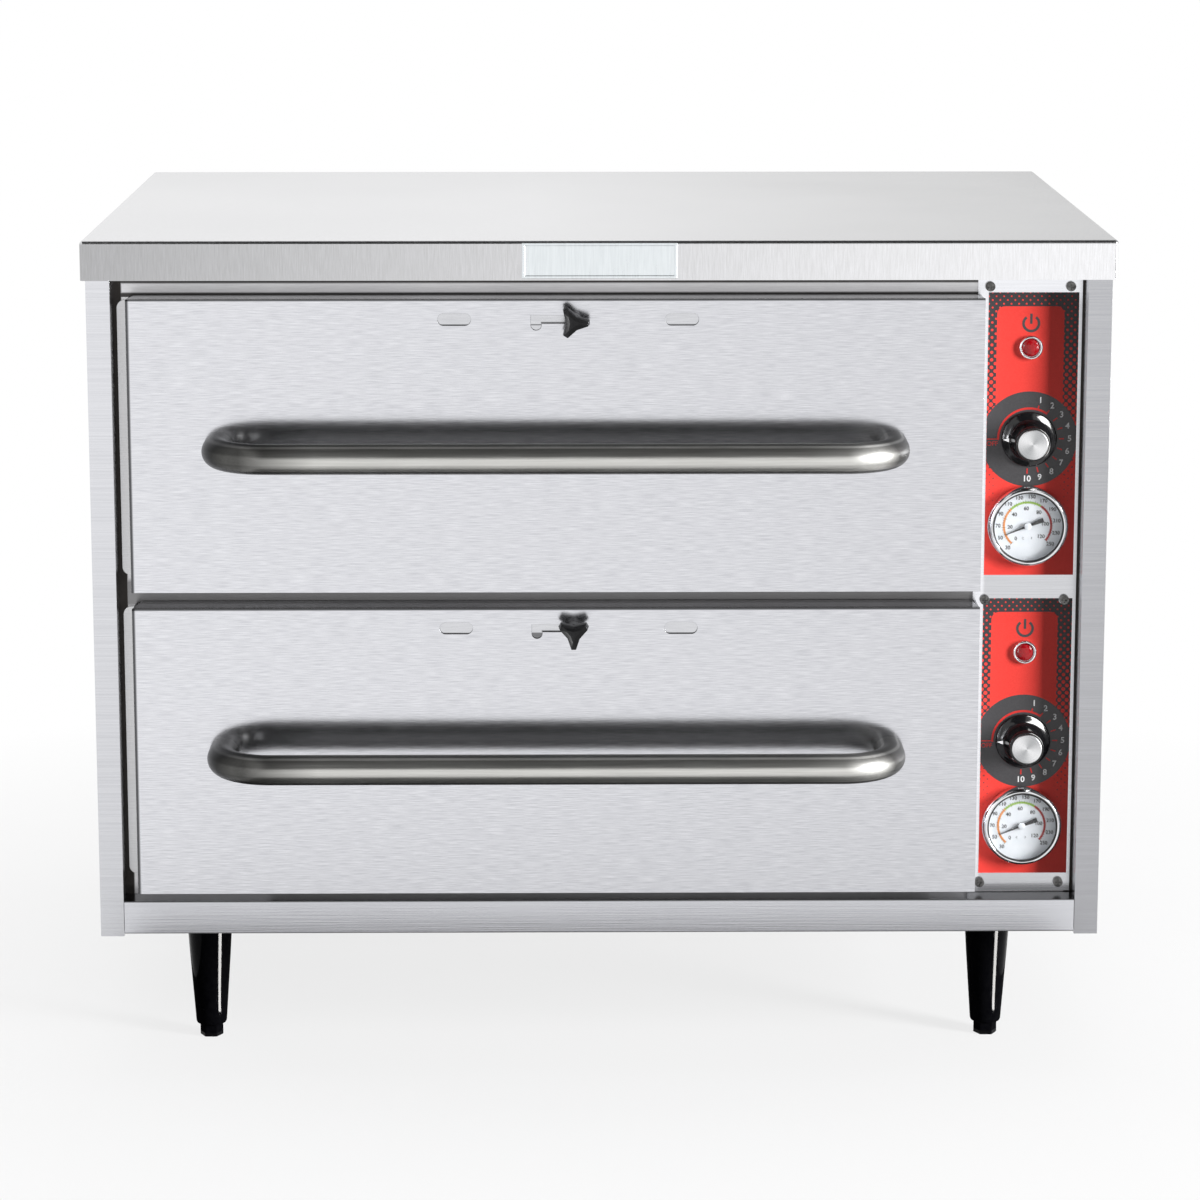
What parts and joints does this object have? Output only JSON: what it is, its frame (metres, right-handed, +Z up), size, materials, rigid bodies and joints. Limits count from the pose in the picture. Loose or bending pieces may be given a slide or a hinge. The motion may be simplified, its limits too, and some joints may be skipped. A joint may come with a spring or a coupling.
{
  "type": "warming drawer",
  "caption": "Free-standing stainless food-warming cabinet with stacked pan drawers on roller slides, tube handles, sliding vents, thermostat knobs, dial gauges and short screw-foot legs.",
  "frame": {"origin": "on the floor under the middle of the bounding box, drawers shut and feet screwed in", "axes": "+Z up, +X to the right of a person facing the drawers, +Y from the drawers to the back panel"},
  "size_m": [0.756, 0.5756, 0.627],
  "materials": {
    "stainless": "brushed stainless sheet",
    "inner_steel": "mill-finish steel sheet",
    "pan_steel": "pressed satin stainless",
    "handle_steel": "satin-polished stainless tube",
    "zinc_steel": "zinc plated",
    "screw_steel": "plain stainless",
    "element_steel": "heat-darkened sheath",
    "wool": "mineral wool board",
    "control_case": "moulded case",
    "printed_sheet": "printed film, red with dark borders",
    "bright_chrome": "polished",
    "red_lens": "clear red moulding",
    "dial_white": "white enamel with a printed scale",
    "clear_glass": "clear",
    "plate_metal": "satin, bare",
    "leg_black": "gloss black",
    "gland_black": "moulded",
    "sensor_copper": "drawn copper",
    "terminal_body": "plain",
    "pointer_black": "matt black",
    "knob_black": "moulded black",
    "cap_metal": "spun",
    "roller_nylon": "moulded nylon"
  },
  "bodies": {
    "cabinet": {"top_cover": "stainless", "left_side_panel": "stainless", "right_side_panel": "stainless", "base_pan": "stainless", "back_panel": "stainless", "face_frame": "inner_steel", "control_panel": "stainless", "upper_cavity_liner": "inner_steel", "lower_cavity_liner": "inner_steel", "insulation_boards": "wool", "upper_heating_element": "element_steel", "lower_heating_element": "element_steel", "element_brackets": "inner_steel", "thermostats": "control_case", "upper_overlay": "printed_sheet", "lower_overlay": "printed_sheet", "lamp_bezels": "bright_chrome", "lamp_lenses": "red_lens", "gauge_cases": "bright_chrome", "gauge_dials": "dial_white", "gauge_glasses": "clear_glass", "panel_screws": "screw_steel", "back_screws": "screw_steel", "nameplate": "plate_metal", "leg_sleeves": "leg_black", "cord_gland": "gland_black", "upper_tracks": "zinc_steel", "lower_tracks": "zinc_steel", "sensor_lines": "sensor_copper", "terminal_block": "terminal_body"},
    "upper_drawer": {"upper_drawer_front": "stainless", "upper_back_plate": "inner_steel", "upper_handle": "handle_steel", "upper_handle_bolts": "zinc_steel", "upper_carriage": "inner_steel", "upper_food_pan": "pan_steel"},
    "upper_front_rollers": {"upper_front_rollers": "roller_nylon"},
    "upper_rear_rollers": {"upper_rear_rollers": "roller_nylon"},
    "upper_knob": {"upper_thermostat_knob": "knob_black", "upper_knob_cap": "cap_metal"},
    "upper_pointer": {"upper_gauge_pointer": "pointer_black"},
    "upper_vent_plate": {"upper_vent_slider": "inner_steel"},
    "upper_vent_grip": {"upper_vent_knob": "knob_black"},
    "lower_drawer": {"lower_drawer_front": "stainless", "lower_back_plate": "inner_steel", "lower_handle": "handle_steel", "lower_handle_bolts": "zinc_steel", "lower_carriage": "inner_steel", "lower_food_pan": "pan_steel"},
    "lower_front_rollers": {"lower_front_rollers": "roller_nylon"},
    "lower_rear_rollers": {"lower_rear_rollers": "roller_nylon"},
    "lower_knob": {"lower_thermostat_knob": "knob_black", "lower_knob_cap": "cap_metal"},
    "lower_pointer": {"lower_gauge_pointer": "pointer_black"},
    "lower_vent_plate": {"lower_vent_slider": "inner_steel"},
    "lower_vent_grip": {"lower_vent_knob": "knob_black"},
    "front_left_foot_screw": {"front_left_foot": "leg_black"},
    "front_right_foot_screw": {"front_right_foot": "leg_black"},
    "rear_left_foot_screw": {"rear_left_foot": "leg_black"},
    "rear_right_foot_screw": {"rear_right_foot": "leg_black"}
  },
  "joints": [
    {"name": "upper_drawer_slide", "type": "slide", "parent": "cabinet", "child": "upper_drawer", "axis": [0, -1, 0], "range_m": [0, 0.33]},
    {"name": "upper_front_roller_turn", "type": "hinge", "parent": "cabinet", "child": "upper_front_rollers", "pos_m": [-0.032, -0.1752, 0.526], "axis": [1, 0, 0], "range_deg": [0, 1725]},
    {"name": "upper_rear_roller_turn", "type": "hinge", "parent": "upper_drawer", "child": "upper_rear_rollers", "pos_m": [-0.032, 0.1876, 0.526], "axis": [1, 0, 0], "range_deg": [0, 1725]},
    {"name": "upper_knob_turn", "type": "hinge", "parent": "cabinet", "child": "upper_knob", "pos_m": [0.318, -0.1972, 0.4765], "axis": [0, 1, 0], "range_deg": [0, 270]},
    {"name": "upper_pointer_swing", "type": "hinge", "parent": "cabinet", "child": "upper_pointer", "pos_m": [0.318, -0.2, 0.4115], "axis": [0, 1, 0], "range_deg": [-27, 241]},
    {"name": "upper_vent_slide", "type": "slide", "parent": "upper_drawer", "child": "upper_vent_plate", "axis": [-1, 0, 0], "range_m": [0, 0.027]},
    {"name": "upper_vent_knob_turn", "type": "hinge", "parent": "upper_vent_plate", "child": "upper_vent_grip", "pos_m": [-0.0193, -0.2367, 0.57], "axis": [0, 1, 0], "continuous": true},
    {"name": "lower_drawer_slide", "type": "slide", "parent": "cabinet", "child": "lower_drawer", "axis": [0, -1, 0], "range_m": [0, 0.33]},
    {"name": "lower_front_roller_turn", "type": "hinge", "parent": "cabinet", "child": "lower_front_rollers", "pos_m": [-0.032, -0.1752, 0.296], "axis": [1, 0, 0], "range_deg": [0, 1725]},
    {"name": "lower_rear_roller_turn", "type": "hinge", "parent": "lower_drawer", "child": "lower_rear_rollers", "pos_m": [-0.032, 0.1876, 0.296], "axis": [1, 0, 0], "range_deg": [0, 1725]},
    {"name": "lower_knob_turn", "type": "hinge", "parent": "cabinet", "child": "lower_knob", "pos_m": [0.318, -0.1972, 0.2465], "axis": [0, 1, 0], "range_deg": [0, 270]},
    {"name": "lower_pointer_swing", "type": "hinge", "parent": "cabinet", "child": "lower_pointer", "pos_m": [0.318, -0.2, 0.1815], "axis": [0, 1, 0], "range_deg": [-27, 241]},
    {"name": "lower_vent_slide", "type": "slide", "parent": "lower_drawer", "child": "lower_vent_plate", "axis": [-1, 0, 0], "range_m": [0, 0.027]},
    {"name": "lower_vent_knob_turn", "type": "hinge", "parent": "lower_vent_plate", "child": "lower_vent_grip", "pos_m": [-0.0193, -0.2367, 0.34], "axis": [0, 1, 0], "continuous": true},
    {"name": "front_left_foot_height", "type": "slide", "parent": "cabinet", "child": "front_left_foot_screw", "axis": [0, 0, -1], "range_m": [0, 0.025]},
    {"name": "front_right_foot_height", "type": "slide", "parent": "cabinet", "child": "front_right_foot_screw", "axis": [0, 0, -1], "range_m": [0, 0.025]},
    {"name": "rear_left_foot_height", "type": "slide", "parent": "cabinet", "child": "rear_left_foot_screw", "axis": [0, 0, -1], "range_m": [0, 0.025]},
    {"name": "rear_right_foot_height", "type": "slide", "parent": "cabinet", "child": "rear_right_foot_screw", "axis": [0, 0, -1], "range_m": [0, 0.025]}
  ],
  "couplings": [
    {"joint": "upper_front_roller_turn", "follows": "upper_drawer_slide", "rad_per_m": 90.909},
    {"joint": "upper_rear_roller_turn", "follows": "upper_drawer_slide", "rad_per_m": 90.909},
    {"joint": "lower_front_roller_turn", "follows": "lower_drawer_slide", "rad_per_m": 90.909},
    {"joint": "lower_rear_roller_turn", "follows": "lower_drawer_slide", "rad_per_m": 90.909}
  ]
}
